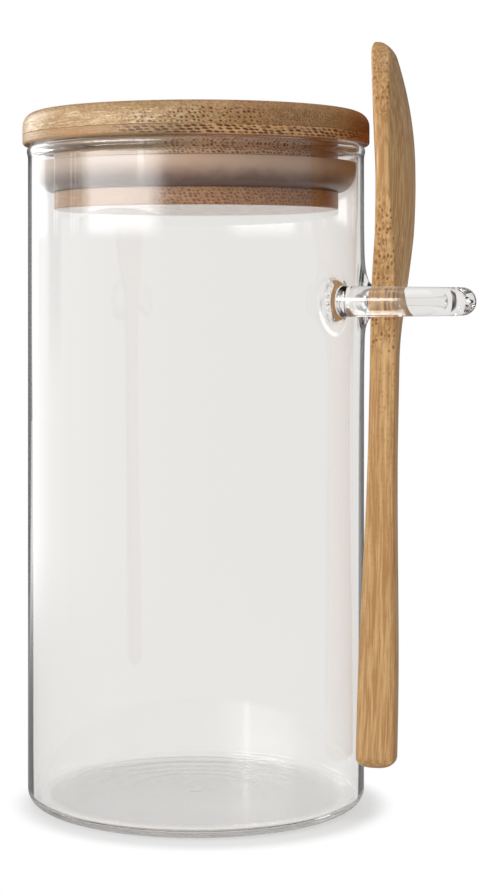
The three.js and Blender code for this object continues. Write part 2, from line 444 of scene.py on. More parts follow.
def swell_wall(skin):
    """Draws the outer wall out a little round both feet, where it was heated for the weld."""
    foot_turn = math.asin(leg_offset / jar_radius)
    for i, (x, y, z) in enumerate(skin.points):
        reach = math.hypot(x, y)
        if reach < jar_radius - wall_thickness / 2:
            continue
        turn = abs(math.atan2(y, x)) - foot_turn
        width, height = turn * jar_radius / swell_width, (z - loop_height) / swell_height
        fade = max(1 - (reach - jar_radius) / weld_length, 0.0)
        swell = wall_swell * math.exp(-width ** 2 - height ** 2) * min(fade, 1.0)
        skin.points[i] = (x * (1 + swell / reach), y * (1 + swell / reach), z)


def glass_jar():
    """Jar and rod as one skin: each foot starts from a square of cells left out of the wall."""
    skin = Skin()
    outer, patch_row = outer_wall_rows()
    rows = underside() + outer + rim_rows() + inner_rows()
    patch_row += len(underside())
    rings = [skin.ring(circle(radius, height, wall_columns)) for radius, height in rows]
    squares = set()
    for column in range(patch_column - patch_cells // 2, patch_column + patch_cells // 2):
        squares |= {column, (-column - 1) % wall_columns}
    for row, (first, second) in enumerate(zip(rings, rings[1:])):
        in_patch = patch_row <= row < patch_row + patch_cells
        skin.bridge(first, second, squares if in_patch else ())
    skin.close(rings[0], (0, 0, push_up_height - nub_height))
    skin.close(rings[-1], (0, 0, floor_thickness))
    near = foot_rings(skin, square_rim(rings, patch_row, -1), -1)
    far = foot_rings(skin, square_rim(rings, patch_row, 1), 1)
    bend = [skin.ring(bend_ring(share)) for share in shares(bend_steps)[:-1]]
    skin.join(near + bend + far[::-1])
    swell_wall(skin)
    ripple_floor(skin)
    return make_piece("glass_jar", skin, loop_turn, jar_sharp_degrees)


# Lid


def cap_upper():
    radius, low, top = upper_high.x, upper_low.z, upper_high.z
    rounding = cap_top_rounding
    profile = [(0, low), (radius - seam_margin, low), (radius - seam_bevel, low)]
    profile += [(radius, low + seam_bevel), (radius, low + 3 * seam_bevel)]
    profile += arc((radius - rounding, top - rounding), rounding, 0, 1)
    profile += [(radius - rounding - face_margin, top), (radius / 2, top), (0, top)]
    return turned_piece("cap_upper_ply", profile)


def cap_lower():
    radius, low, top = lower_high.x, lower_low.z, lower_high.z
    rounding = cap_bottom_rounding
    profile = [(0, low), (radius / 2, low), (radius - rounding - face_margin, low)]
    profile += arc((radius - rounding, low + rounding), rounding, 3, 4)
    profile += [(radius, top - 3 * seam_bevel), (radius, top - seam_bevel)]
    profile += [(radius - seam_bevel, top), (radius - seam_margin, top), (0, top)]
    return turned_piece("cap_lower_ply", profile)


def plug_neck():
    """Neck under the cap, with the core that holds the seal."""
    bottom, top = neck_low.z, neck_high.z
    groove_top = seal_high.z + seat_gap
    return turned_piece("plug_neck", [
        (0, bottom), (core_radius, bottom), (core_radius, groove_top),
        (plug_radius - neck_chamfer, groove_top), (plug_radius, groove_top + neck_chamfer),
        (plug_radius, groove_top + seam_margin), (plug_radius, top - neck_top_drop),
        (plug_radius - neck_top_inset, top), (0, top),
    ])


def plug_flange():
    radius, low, top, edge = flange_high.x, flange_low.z, flange_high.z, flange_rounding
    face_radius = radius - edge - flange_margin
    profile = [(0, low), (radius / 2, low), (face_radius, low)]
    profile += arc((radius - edge, low + edge), edge, 3, 4, flange_arc_steps)
    profile += arc((radius - edge / 2, top - edge / 2), edge / 2, 0, 1, flange_arc_steps)
    profile += [(face_radius, top), (radius / 2, top), (0, top)]
    return turned_piece("plug_flange", profile)


def seal():
    """Seal with a hollow side that runs from its thin foot out to its lip."""
    top, bottom = seal_high.z, flange_high.z + seal_gap
    lip_radius = seal_high.x
    inner = core_radius + seat_gap
    lip_bottom = top - seal_lip_thickness
    profile = [(inner, top), (inner, bottom), (seal_foot_radius - face_margin, bottom)]
    steps = 3 * arc_steps
    for step in range(steps + 1):
        angle = step / steps * math.pi / 2
        radius = seal_foot_radius + (lip_radius - seal_foot_radius) * math.sin(angle)
        profile.append((radius, lip_bottom - (lip_bottom - bottom) * math.cos(angle)))
    profile += [
        (lip_radius, top - seal_lip_chamfer),
        (lip_radius - seal_lip_corner, top - seal_lip_corner),
        (lip_radius - seal_lip_chamfer, top), (lip_radius - seal_top_margin, top),
    ]
    return turned_band("silicone_seal", profile)


# Spoon


def end_fullness(distance, rounding):
    """How full a rounded end is at a distance in from it."""
    share = min(max(1 - distance / rounding, 0.0), 1.0)
    return math.sqrt(1 - share ** 2)


def spoon_half_width(along):
    if along > bowl_widest:
        return bowl_width / 2 * end_fullness(spoon_length - along, bowl_tip_length)
    shoulder = eased(along, bowl_widest - bowl_shoulder_length, bowl_widest)
    swelling = (bowl_width - handle_width) / 2 * shoulder
    return (handle_width / 2 + swelling) * end_fullness(along, spoon_end_rounding)


def tip_share(along):
    """0 at the bowl's widest place, 1 at the tip."""
    return min(max((along - bowl_widest) / bowl_tip_length, 0.0), 1.0)


def spoon_side_thickness(along):
    grip = 1 - eased(along, grip_length, grip_length + grip_taper_length)
    handle = handle_thickness + (grip_thickness - handle_thickness) * grip
    thinning = eased(along, bowl_widest - bowl_thinning_length, bowl_widest)
    wall = handle + (bowl_wall_thickness - handle_thickness) * thinning
    return wall + (tip_thickness - bowl_wall_thickness) * tip_share(along)


def spoon_bow(along):
    """How far the spoon's middle bends towards the jar near the tip."""
    return -tip_inset * max(1 - (spoon_length - along) / tip_bend_length, 0.0)


def spoon_back_bulge(along):
    rise = eased(along, bowl_widest - back_rise_length, bowl_widest)
    crown = handle_crown + (back_bulge - handle_crown) * rise
    return crown * (1 - tip_share(along) ** 2)


def spoon_hollow(along, across):
    """Depth of the hollow under the rim plane, a spoonful between two ends and two rims."""
    middle = spoon_length - hollow_tip_margin - hollow_length / 2
    length_share = (along - middle) / (hollow_length / 2)
    half_width = spoon_half_width(along) - hollow_rim
    width_share = across / max(half_width, hollow_rim)
    fullness = 1 - length_share ** 2 - width_share ** 2
    return hollow_depth * max(fullness, 0.0)


def edge_arc(thick, across, edge, from_quarter):
    """Rounded long edge of the spoon, a quarter turn on from where it starts."""
    return arc((thick, across), edge, from_quarter, from_quarter + 1, edge_steps)


def spoon_ring(along):
    """One closed ring round the spoon at a distance along it: back, then the hollow side."""
    half_width = spoon_half_width(along)
    end_share = end_fullness(along, spoon_end_rounding)
    tip_end_share = end_fullness(spoon_length - along, spoon_tip_rounding)
    full_half = spoon_side_thickness(along) / 2
    half_thickness = full_half * min(end_share, tip_end_share)
    middle = spoon_bow(along) - full_half * (1 - tip_end_share) / 2
    edge = min(spoon_edge_rounding, half_width / 2, half_thickness / 2)
    bulge = spoon_back_bulge(along) * end_share
    flat_half = half_width - edge
    back, front = middle + half_thickness, middle - half_thickness
    places = [2 * i / spoon_across - 1 for i in range(spoon_across + 1)]
    ring = [(back + bulge * (1 - place ** 2), place * flat_half) for place in places]
    ring += edge_arc(back - edge, flat_half, edge, 0)[1:]
    ring += edge_arc(front + edge, flat_half, edge, 1)[:-1]
    ring += [(front + spoon_hollow(along, place * flat_half), place * flat_half)
             for place in reversed(places)]
    ring += edge_arc(front + edge, -flat_half, edge, 2)[1:]
    ring += edge_arc(back - edge, -flat_half, edge, 3)[:-1]
    return [(x, y, along) for x, y in ring]


def spoon_matrix():
    """Place of the spoon's own frame, with its handle end at the origin, its back along +X and
    its length along +Z."""
    lean = Matrix.Rotation(-spoon_side_lean, 4, "X") @ Matrix.Rotation(spoon_lean, 4, "Y")
    place = Matrix.Translation((spoon_reach, -spoon_side_shift, spoon_end_height))
    side = Matrix.Rotation(loop_turn, 4, "Z")
    return side @ place @ Matrix.Rotation(spoon_turn, 4, "Z") @ lean


def bamboo_spoon():
    skin = Skin()
    matrix = spoon_matrix()
    stations = [(1 - math.cos(math.pi * step / spoon_stations)) / 2 * spoon_length
                for step in range(1, spoon_stations)]
    rings = [skin.ring([matrix @ Vector(point) for point in spoon_ring(along)])
             for along in stations]
    skin.join(rings)
    skin.close(rings[0], matrix @ Vector((spoon_bow(0.0), 0.0, 0.0)))
    end = spoon_bow(spoon_length) - tip_thickness / 4
    skin.close(rings[-1], matrix @ Vector((end, 0.0, spoon_length)))
    return make_piece("bamboo_spoon", skin, sharp_degrees=spoon_sharp_degrees)


# Nodes of materials, lamps and world. Two numbers of a look are where a soft change starts and
# where it ends, and two more are its levels there.

noise_roughness = 0.55


def add_node(tree, kind, inputs=None, **settings):
    """Shader node; an input is a plain value or the output of another node."""
    node = tree.nodes.new("ShaderNode" + kind)
    for name, value in settings.items():
        setattr(node, name, value)
    for key, value in (inputs or {}).items():
        if isinstance(value, bpy.types.NodeSocket):
            tree.links.new(value, node.inputs[key])
        else:
            node.inputs[key].default_value = value
    return node


def calc(tree, operation, *values):
    return add_node(tree, "Math", dict(enumerate(values)), operation=operation).outputs[0]


def times(tree, *factors):
    product = factors[0]
    for factor in factors[1:]:
        product = calc(tree, "MULTIPLY", product, factor)
    return product


def vector_calc(tree, operation, *values):
    """Vector that the operation makes, or the number of a length or dot product."""
    node = add_node(tree, "VectorMath", dict(enumerate(values)), operation=operation)
    return node.outputs["Value" if operation in ("LENGTH", "DOT_PRODUCT") else "Vector"]


def mix_shaders(tree, factor, first, second):
    return add_node(tree, "MixShader", {0: factor, 1: first, 2: second}).outputs[0]


def blend(tree, factor, first, second):
    inputs = {0: factor, 6: first, 7: second}
    return add_node(tree, "Mix", inputs, data_type="RGBA").outputs[2]


def tinted(tree, factor, colour, tint):
    """The colour, multiplied by the tint as far as the factor says."""
    return blend(tree, factor, colour, vector_calc(tree, "MULTIPLY", colour, tint))


def grey(level):
    return (level, level, level, 1.0)


def ramp(tree, value, low, high, to_low=0.0, to_high=1.0):
    """Smooth change from one level to another while the value goes from low to high."""
    node = add_node(tree, "MapRange", {
        "Value": value, "From Min": low, "From Max": high, "To Min": to_low, "To Max": to_high,
    }, interpolation_type="SMOOTHSTEP")
    return node.outputs[0]


def falling(tree, value, low, high):
    return ramp(tree, value, low, high, 1.0, 0.0)


def band(tree, value, rise, fall):
    """1 between two soft edges, each a pair of where it starts and where it ends."""
    return times(tree, ramp(tree, value, *rise), falling(tree, value, *fall))


def stops_ramp(tree, value, scale, stops):
    """Level of a value from stops of (place, level). The value times the scale is -0.5 at the
    first stop and 0.5 at the last."""
    share = calc(tree, "MULTIPLY_ADD", value, scale, 0.5)
    node = add_node(tree, "ValToRGB", {"Fac": share})
    first, last = stops[0][0], stops[-1][0]
    row = node.color_ramp.elements
    for place, _ in stops[1:-1]:
        row.new((place - first) / (last - first))
    for element, (_, level) in zip(row, stops):
        element.color = grey(level)
    return node.outputs["Color"]


def coordinate(tree, kind):
    return add_node(tree, "TexCoord").outputs[kind]


def split(tree, vector):
    return add_node(tree, "SeparateXYZ", {"Vector": vector}).outputs


def axis_distance(tree, place):
    flat = vector_calc(tree, "MULTIPLY", place, (1.0, 1.0, 0.0))
    return vector_calc(tree, "LENGTH", flat)


def noise(tree, place, size, detail=2.0, output="Fac"):
    """Noise with a size of its own along each way."""
    return add_node(tree, "TexNoise", {
        "Vector": vector_calc(tree, "DIVIDE", place, size), "Scale": 1.0, "Detail": detail,
        "Roughness": noise_roughness,
    }).outputs[output]


def mottle(tree, place, size, detail, edges):
    """Noise, sharpened between two of its levels."""
    return ramp(tree, noise(tree, place, size, detail), *edges)


def cells(tree, place, size, scatter, dimensions):
    return add_node(tree, "TexVoronoi", {
        "Vector": vector_calc(tree, "DIVIDE", place, size), "Scale": 1.0,
        "Randomness": scatter,
    }, voronoi_dimensions=dimensions).outputs


def bump(tree, strength, distance, height):
    return add_node(tree, "Bump", {
        "Strength": strength, "Distance": distance * MM, "Height": height,
    }).outputs[0]


def empty_tree(owner):
    owner.use_nodes = True
    owner.node_tree.nodes.clear()
    return owner.node_tree


def new_material(name):
    material = bpy.data.materials.new(name)
    return material, empty_tree(material)


def show(tree, shader, kind="OutputMaterial"):
    add_node(tree, kind, {"Surface": shader})


# Glass

glass_index = 1.47
glass_skin = 0.2
# Painted shade at the glass's edges: the outer wall's colour darkens where it turns edge-on.
wall_upright = (0.35, 0.75)
edge_facing = (0.775, 0.80)
edge_widening = 0.035
edge_widening_end = (0.5, 0.9)
edge_shade_low = (0.01, 0.01, 0.009, 1.0)
edge_shade_high = (0.16, 0.158, 0.155, 1.0)
soft_floor_edge = 1.0
soft_floor_height = (3.8, 4.2)
soft_floor_roughness = 0.24
veil_slant = (0.4, 0.95)
veil_face_on = (0.93, 0.93, 0.925, 1.0)
veil_edge_on = (0.45, 0.45, 0.44, 1.0)


def facing(tree):
    return add_node(tree, "LayerWeight", {"Blend": 0.5}).outputs["Facing"]


def painted_edge_shade(tree, reach, rise):
    """Painted shade on the glass: white, and painted dark where the outer wall turns edge-on,
    more so low on the jar.
    """
    upright = calc(tree, "ABSOLUTE", split(tree, coordinate(tree, "Normal"))["Z"])
    height = ramp(tree, rise, 0.0, jar_height * MM)
    middle = (bore_radius + wall_thickness / 2) * MM
    outside = ramp(tree, reach, middle, middle + glass_skin * MM)
    wall = times(tree, falling(tree, upright, *wall_upright), outside)
    widening = ramp(tree, height, *edge_widening_end, edge_widening, 0.0)
    edge_on = calc(tree, "ADD", facing(tree), widening)
    above_heel = ramp(tree, rise, clear_heel * MM, dark_heel * clear_heel * MM)
    edge = times(tree, ramp(tree, edge_on, *edge_facing), wall, above_heel)
    return blend(tree, edge, grey(1.0), blend(tree, height, edge_shade_low, edge_shade_high))


def clear_glass():
    """Clear glass that lets lamp light straight through, a little soft in the jar's floor."""
    material, tree = new_material("clear_glass")
    place = coordinate(tree, "Object")
    reach, rise = axis_distance(tree, place), split(tree, place)["Z"]
    inner = falling(tree, reach, ring_outer * MM, (ring_outer + soft_floor_edge) * MM)
    start, end = soft_floor_height
    low = ramp(tree, rise, start * MM, end * MM, soft_floor_roughness, 0.0)
    # The base colour carries the painted dark edges.
    glass = add_node(tree, "BsdfPrincipled", {
        "Base Color": painted_edge_shade(tree, reach, rise), "IOR": glass_index,
        "Roughness": times(tree, inner, low), "Transmission Weight": 1.0,
    }).outputs[0]
    veil = blend(tree, ramp(tree, facing(tree), *veil_slant), veil_face_on, veil_edge_on)
    clear = add_node(tree, "BsdfTransparent", {"Color": veil}).outputs[0]
    path = add_node(tree, "LightPath").outputs
    mixed = mix_shaders(tree, path["Is Diffuse Ray"], glass, clear)
    show(tree, mix_shaders(tree, path["Is Shadow Ray"], mixed, clear))
    return material


# Bamboo, with sizes across the fibres, in depth and along them

board_span = 200.0
drift_size = (9.0, 9.0, 30.0)
drift_reach = (2.0, 1.2, 0.0)
dot_edge = (0.65, 1.2)
dot_growth = 0.6
faint_dots = (0.0, 0.4, 0.55, 1.0)
patch_softness = 0.08
speck_spacing = (0.62, 0.5, 1.0)
speck_scatter = 0.8
speck_edge = (0.2, 0.36, 0.6, 0.0)
fibre_edges = (0.32, 0.68)
broad_size = (2.4, 1.6, 40.0)
broad_edges = (0.3, 0.7)
broad_strength = 0.45
fleck_size = (0.5, 0.4, 1.6)
strip_strength = 0.2
tone_start = -0.15
# Size, edges and upright faces of the painted glints.
glint_size = (3.2, 0.42, 5.0)
glint_edges = (0.52, 0.64)
glint_upright = (0.35, 0.7)
ruddy_tint = (1.0, 0.78, 0.62)
tip_darkening_tint = (0.80, 0.78, 0.76)
end_strength = 0.92
polished_underside = (-0.95, -0.8, 0.08)
dull_top = (0.6, 0.95, 0.0, 0.2)
fibre_roughness = 0.12
dot_relief = -0.6
fibre_relief = 0.5
bump_strength = 0.5
bump_height = 0.10
wood_specular = 0.3


def grain_place(tree, grain):
    """Place in the wood in millimetres: two ways across the fibres, then along them."""
    return add_node(tree, "Mapping", {
        "Vector": coordinate(tree, "Object"), "Rotation": grain.to_euler("XYZ"),
        "Scale": (PER_METRE,) * 3,
    }).outputs[0]


def drifted(tree, place, seed):
    """Place moved by a seed, in wood whose fibres are a little wavy."""
    place = vector_calc(tree, "ADD", place, (seed,) * 3)
    drift = noise(tree, place, drift_size, output="Color")
    drift = vector_calc(tree, "SUBTRACT", drift, (0.5,) * 3)
    drift = vector_calc(tree, "MULTIPLY", drift, drift_reach)
    return vector_calc(tree, "ADD", place, drift)


def bundle_dots(tree, place, looks):
    """A dot for each bundle, with its own size and strength."""
    parts = split(tree, place)
    slanted = add_node(tree, "CombineXYZ", {
        "X": calc(tree, "MULTIPLY_ADD", parts["Y"], looks["slant"], parts["X"]),
        "Y": parts["Y"], "Z": parts["Z"],
    }).outputs[0]
    bundles = cells(tree, slanted, looks["spacing"], looks["scatter"], looks["bundles"])
    chance = add_node(tree, "SeparateColor", {"Color": bundles["Color"]}).outputs
    size = looks["dot_size"]
    size = calc(tree, "MULTIPLY_ADD", chance[0], size * dot_growth, size)
    dots = falling(tree, calc(tree, "DIVIDE", bundles["Distance"], size), *dot_edge)
    return times(tree, dots, ramp(tree, chance[1], *faint_dots))


def shown_dots(tree, place, side, along, depth_facing, looks):
    """The dots where the wood shows them, and fine specks on its dense side."""
    level = looks["patch_level"]
    edges = (level - patch_softness, level + patch_softness)
    dots = times(
        tree, bundle_dots(tree, place, looks),
        mottle(tree, place, looks["patch"], 2.0, edges),
        ramp(tree, calc(tree, "ABSOLUTE", depth_facing), *looks["dot_side"]),
        stops_ramp(tree, along, 0.5 / board_span, looks["bands"]),
    )
    specks = cells(tree, place, speck_spacing, speck_scatter, "2D")["Distance"]
    return add_node(tree, "Mix", {
        "Factor": ramp(tree, side, *looks["dense_side"]), "A": dots,
        "B": ramp(tree, specks, *speck_edge),
    }).outputs[0]


def wood_ground(tree, place, fine, looks):
    """Colour of the wood between light and dark, from fibres, flecks and glued strips."""
    strip = calc(tree, "DIVIDE", split(tree, place)["X"], looks["strip"])
    strip = calc(tree, "FLOOR", strip)
    shade = add_node(tree, "TexWhiteNoise", {"W": strip}, noise_dimensions="1D")
    tone = tone_start
    for layer, strength in (
            (fine, looks["grain_strength"]),
            (mottle(tree, place, broad_size, 3.0, broad_edges), broad_strength),
            (mottle(tree, place, fleck_size, 2.0, broad_edges), looks["flecks"]),
            (shade.outputs["Value"], strip_strength)):
        tone = calc(tree, "MULTIPLY_ADD", layer, strength, tone)
    return blend(tree, tone, looks["light"], looks["dark"])


def bamboo(name, grain, looks):
    """Bamboo with vascular bundles that show as dots across the grain and streaks along it."""
    material, tree = new_material(name)
    place = grain_place(tree, grain)
    ways = split(tree, place)
    side, along = ways["X"], ways["Z"]
    place = drifted(tree, place, looks["seed"])
    normal = coordinate(tree, "Normal")
    upward = split(tree, normal)["Z"]
    cut = vector_calc(tree, "DOT_PRODUCT", normal, tuple(grain.row[2]))
    depth_facing = vector_calc(tree, "DOT_PRODUCT", normal, tuple(grain.row[1]))
    end_grain = ramp(tree, calc(tree, "ABSOLUTE", cut), *looks["end_grain"])
    dots = shown_dots(tree, place, side, along, depth_facing, looks)
    fine = mottle(tree, place, looks["fibre_size"], 3.0, fibre_edges)

    colour = wood_ground(tree, place, fine, looks)
    # Painted light and shade: on the side towards the key lamp a tint cools the wood like the
    # lamp's sheen, and on the lower ply and flange also darkens it, to even out the lamp's
    # strong light there.
    pale = ramp(tree, side, *looks["painted_key_side"])
    # Painted glints: pale wavy streaks on the side towards the key lamp, kept off the top and
    # bottom faces, stand in for the wood's shimmer under that lamp.
    painted_glint = mottle(tree, place, glint_size, 3.0, glint_edges)
    upright = falling(tree, calc(tree, "ABSOLUTE", upward), *glint_upright)
    painted_glint = times(tree, painted_glint, pale, upright, looks["painted_glint"])
    colour = blend(tree, painted_glint, colour, looks["glint"])
    colour = tinted(tree, pale, colour, looks["painted_key_tint"])
    colour = tinted(tree, ramp(tree, side, *looks["ruddy_side"]), colour, ruddy_tint)
    # Darker towards the spoon's tip.
    colour = tinted(tree, ramp(tree, along, *looks["tip_darkening"]), colour, tip_darkening_tint)
    mark = blend(tree, end_grain, looks["streak"], looks["fibre"])
    strength = ramp(tree, end_grain, 0.0, 1.0, looks["streaks"], end_strength)
    colour = blend(tree, times(tree, dots, strength), colour, mark)

    smooth = ramp(tree, upward, *polished_underside, looks["roughness"])
    smooth = calc(tree, "ADD", smooth, ramp(tree, upward, *dull_top))
    relief = calc(tree, "MULTIPLY_ADD", dots, dot_relief, times(tree, fine, fibre_relief))
    wood = add_node(tree, "BsdfPrincipled", {
        "Base Color": colour, "Specular IOR Level": wood_specular,
        "Roughness": calc(tree, "MULTIPLY_ADD", fine, fibre_roughness, smooth),
        "Normal": bump(tree, bump_strength, bump_height, relief),
    })
    show(tree, wood.outputs[0])
    return material


# Silicone, whose colour goes from a dark foot to a pale lip, with painted shade under the lip
# and the plug's core painted as if seen through it

silicone_foot = (0.13, 0.048, 0.024, 1.0)
silicone_lip = (0.66, 0.43, 0.30, 1.0)
silicone_dust = (0.55, 0.48, 0.42, 1.0)
silicone_painted_tint = (0.72, 0.83, 0.92)
silicone_painted_side = (0.0, -22.0)
silicone_index = 1.41
silicone_roughness = 0.28
dust_roughness = 0.12
dust_bump_strength = 0.25
dust_bump_height = 0.05
foot_depth = 1.8
lip_depth = 0.2
cloud_size = (5.0, 5.0, 4.0)
cloud_depth = 2.4
dust_size = (0.35, 0.35, 0.35)
dust_cover = (0.35, 0.75, 0.0, 0.12)


def silicone():
    """Silicone painted as if translucent: darker towards the thin foot, for the plug's core
    showing through and for painted shade under the lip, and painted cooler and darker on the
    key lamp's side.
    """
    material, tree = new_material("silicone")
    place = vector_calc(tree, "MULTIPLY", coordinate(tree, "Object"), (PER_METRE,) * 3)
    ways = split(tree, place)
    cloud = noise(tree, place, cloud_size, 3.0)
    dust = noise(tree, place, dust_size)
    height = calc(tree, "MULTIPLY_ADD", cloud, cloud_depth, ways["Z"])
    # Painted shade under the lip and the painted core: the colour darkens towards the foot.
    depth = ramp(tree, height, seal_low.z + foot_depth, seal_high.z - lip_depth)
    colour = blend(tree, depth, silicone_foot, silicone_lip)
    # Painted light and shade: on the side towards the key lamp the silicone is cooler, like the
    # lamp's sheen, and darker, to even out the lamp's strong light there.
    cool = ramp(tree, ways["X"], *silicone_painted_side)
    colour = tinted(tree, cool, colour, silicone_painted_tint)
    colour = blend(tree, ramp(tree, dust, *dust_cover), colour, silicone_dust)
    rubber = add_node(tree, "BsdfPrincipled", {
        "Base Color": colour, "IOR": silicone_index,
        "Roughness": calc(tree, "MULTIPLY_ADD", dust, dust_roughness, silicone_roughness),
        "Normal": bump(tree, dust_bump_strength, dust_bump_height, dust),
    })
    show(tree, rubber.outputs[0])
    return material


# Surroundings. A turn goes from the camera's side towards the right, in degrees in the tables of
# (turn, brightness) and in radians elsewhere. A height is the upward part of a ray's way, and
# each pair of heights is a soft edge.

ambient_level = 0.25
through_level = (0.835, 0.82, 0.80, 1.0)
studio_cards = (
    (-180, 0.08), (-153, 0.10), (-147, 2.0), (-125, 1.8), (-110, 1.4), (-88, 1.1), (-60, 0.7),
    (0, 0.2), (60, 0.10), (97, 0.2), (120, 0.4), (146, 0.5), (153, 0.10), (180, 0.08),
)
window_strips = (
    (-180, 0.0), (-147, 0.0), (-144, 6.0), (-126, 5.0), (-122, 0.0), (-112.4, 0.0),
    (-112, 5.5), (-110.8, 5.5), (-110.4, 0.0), (-93.2, 0.0), (-92.8, 7.5), (-92, 7.5),
    (-91.6, 0.0), (-89, 0.0), (-88.6, 5.5), (-88, 5.5), (-87.6, 0.0), (-82.4, 0.0),
    (-82, 3.0), (-81.6, 3.0), (-80, 2.0), (-74, 10.0), (-34, 10.0), (-21, 0.0), (180, 0.0),
)
window_foot = (0.025, 0.035, 0.0, 0.36)
window_middle = (0.07, 0.14, 0.0, 0.64)
window_top = (0.42, 0.46)
flag_turns = ((-180, 1.0), (117, 1.0), (120, 0.03), (137, 0.03), (140, 1.0), (180, 1.0))
flag_foot = (-0.06, 0.02)
flag_top = (0.03, 0.12)
card_level = 0.10
card_foot = (0.20, 0.30)
card_top = (0.85, 0.95)
card_sides = (1.7, 1.9)
blind_foot = (0.07, 0.08)
blind_top = (0.31, 0.35)
blind_gap_turn = -0.665
blind_gap = (0.032, 0.045, 0.5, 0.95)


def level_by_ray(tree, rest, mirrored, through):
    """Brightness of the surroundings: white to the camera, and a level each for other rays."""
    path = add_node(tree, "LightPath").outputs
    colour = blend(tree, path["Is Glossy Ray"], rest, mirrored)
    colour = blend(tree, path["Is Transmission Ray"], colour, through)
    return blend(tree, path["Is Camera Ray"], colour, grey(1.0))


def seen_rays(tree):
    """1 for rays of the camera and those that glass and gloss send on."""
    path = add_node(tree, "LightPath").outputs
    seen = calc(tree, "ADD", path["Is Camera Ray"], path["Is Glossy Ray"])
    seen = calc(tree, "ADD", seen, path["Is Transmission Ray"])
    return calc(tree, "MINIMUM", seen, 1.0)


def compass(tree, place):
    """Turn of a place or way, and its height."""
    way = split(tree, coordinate(tree, place))
    return calc(tree, "ARCTAN2", way["X"], times(tree, way["Y"], -1.0)), way["Z"]


def turn_ramp(tree, turn, stops):
    return stops_ramp(tree, turn, 0.5 / math.pi, stops)


def studio_windows(tree, turn, height):
    """Bright windows in front of the jar, dim at their foot, that glass and gloss mirror."""
    low, high = ramp(tree, height, *window_foot), ramp(tree, height, *window_middle)
    level = times(tree, calc(tree, "ADD", low, high), falling(tree, height, *window_top))
    level = blend(tree, level, grey(0.0), grey(1.0))
    return vector_calc(tree, "MULTIPLY", turn_ramp(tree, turn, window_strips), level)


def light_through(tree, turn, height, windows):
    """What glass shows behind it: pale walls with a dark card and dark flags, and the windows
    with a blind, which has a narrow gap on the rod's side."""
    front = falling(tree, calc(tree, "ABSOLUTE", turn), *card_sides)
    card = times(tree, band(tree, height, card_foot, card_top), front)
    walls = blend(tree, card, through_level, grey(card_level))
    flags = turn_ramp(tree, turn, flag_turns)
    flags = blend(tree, band(tree, height, flag_foot, flag_top), grey(1.0), flags)
    walls = vector_calc(tree, "MULTIPLY", walls, flags)
    from_gap = calc(tree, "ABSOLUTE", calc(tree, "SUBTRACT", turn, blind_gap_turn))
    blind = band(tree, height, blind_foot, blind_top)
    blind = times(tree, blind, ramp(tree, from_gap, *blind_gap))
    return vector_calc(tree, "ADD", walls, blend(tree, blind, windows, grey(0.0)))


def studio_world():
    """Even surroundings: white for the camera, soft for the rest, and cards for the glass."""
    world = bpy.data.worlds.new("studio")
    bpy.context.scene.world = world
    tree = empty_tree(world)
    turn, height = compass(tree, "Generated")
    windows = studio_windows(tree, turn, height)
    mirrored = vector_calc(tree, "ADD", turn_ramp(tree, turn, studio_cards), windows)
    through = light_through(tree, turn, height, windows)
    colour = level_by_ray(tree, grey(ambient_level), mirrored, through)
    sky = add_node(tree, "Background", {"Color": colour})
    show(tree, sky.outputs[0], "OutputWorld")
    world.cycles.sampling_method = "NONE"


# Floor, lamps and camera, in metres

floor_radius = 1.6
floor_columns = 96
floor_height = -0.0001
floor_grain = (0.004, 0.004, 0.004)
floor_pale = (0.93, 0.93, 0.925, 1.0)
floor_paler = (0.95, 0.95, 0.945, 1.0)
floor_mirrored = 0.3
far_floor = (0.12, 0.6)
# Painted shadow outline: near the jar the lit floor shows only inside a circle moved towards the
# front right, so the shadow's shape is set by place and its depth by the lamps. Seen through the
# glass, the floor is painted whiter than it is lit, and plain white from the heel outwards.
shadow_shift = (-0.0015, 0.0035, 0.0)
shadow_edge = (0.0415, 0.049, 0.5, 1.0)
through_shadow_edge = (0.0380, 0.0412, 0.72, 1.0)
lamp_aim = Vector((0.0, 0.0, 0.15))
camera_distance = 0.5306
camera_height = 0.12784


def floor_material():
    """Pale floor that keeps the shadow near the jar and fades to plain white away from it."""
    material, tree = new_material("pale_floor")
    place = coordinate(tree, "Object")
    distance = axis_distance(tree, place)
    from_shadow = axis_distance(tree, vector_calc(tree, "ADD", place, shadow_shift))
    pale = blend(tree, noise(tree, place, floor_grain), floor_pale, floor_paler)
    matt = add_node(tree, "BsdfDiffuse", {"Color": pale}).outputs[0]
    cards = turn_ramp(tree, compass(tree, "Object")[0], studio_cards)
    mirrored = blend(tree, ramp(tree, distance, *far_floor), grey(floor_mirrored), cards)
    level = level_by_ray(tree, grey(1.0), mirrored, through_level)
    white = add_node(tree, "Emission", {"Color": level}).outputs[0]
    # The share of plain white paints the shadow's outline, and paints the floor under the heel
    # white to rays through the glass.
    through = add_node(tree, "LightPath").outputs["Is Transmission Ray"]
    share = blend(tree, through, ramp(tree, from_shadow, *shadow_edge),
                  ramp(tree, distance, *through_shadow_edge))
    show(tree, mix_shaders(tree, times(tree, share, seen_rays(tree)), matt, white))
    material.cycles.emission_sampling = "NONE"
    return material


def stage_floor():
    mesh = bpy.data.meshes.new("floor")
    points = circle(floor_radius, floor_height, floor_columns)
    mesh.from_pydata(points, [], [tuple(range(floor_columns))])
    mesh.materials.append(floor_material())
    add_object("floor", mesh)


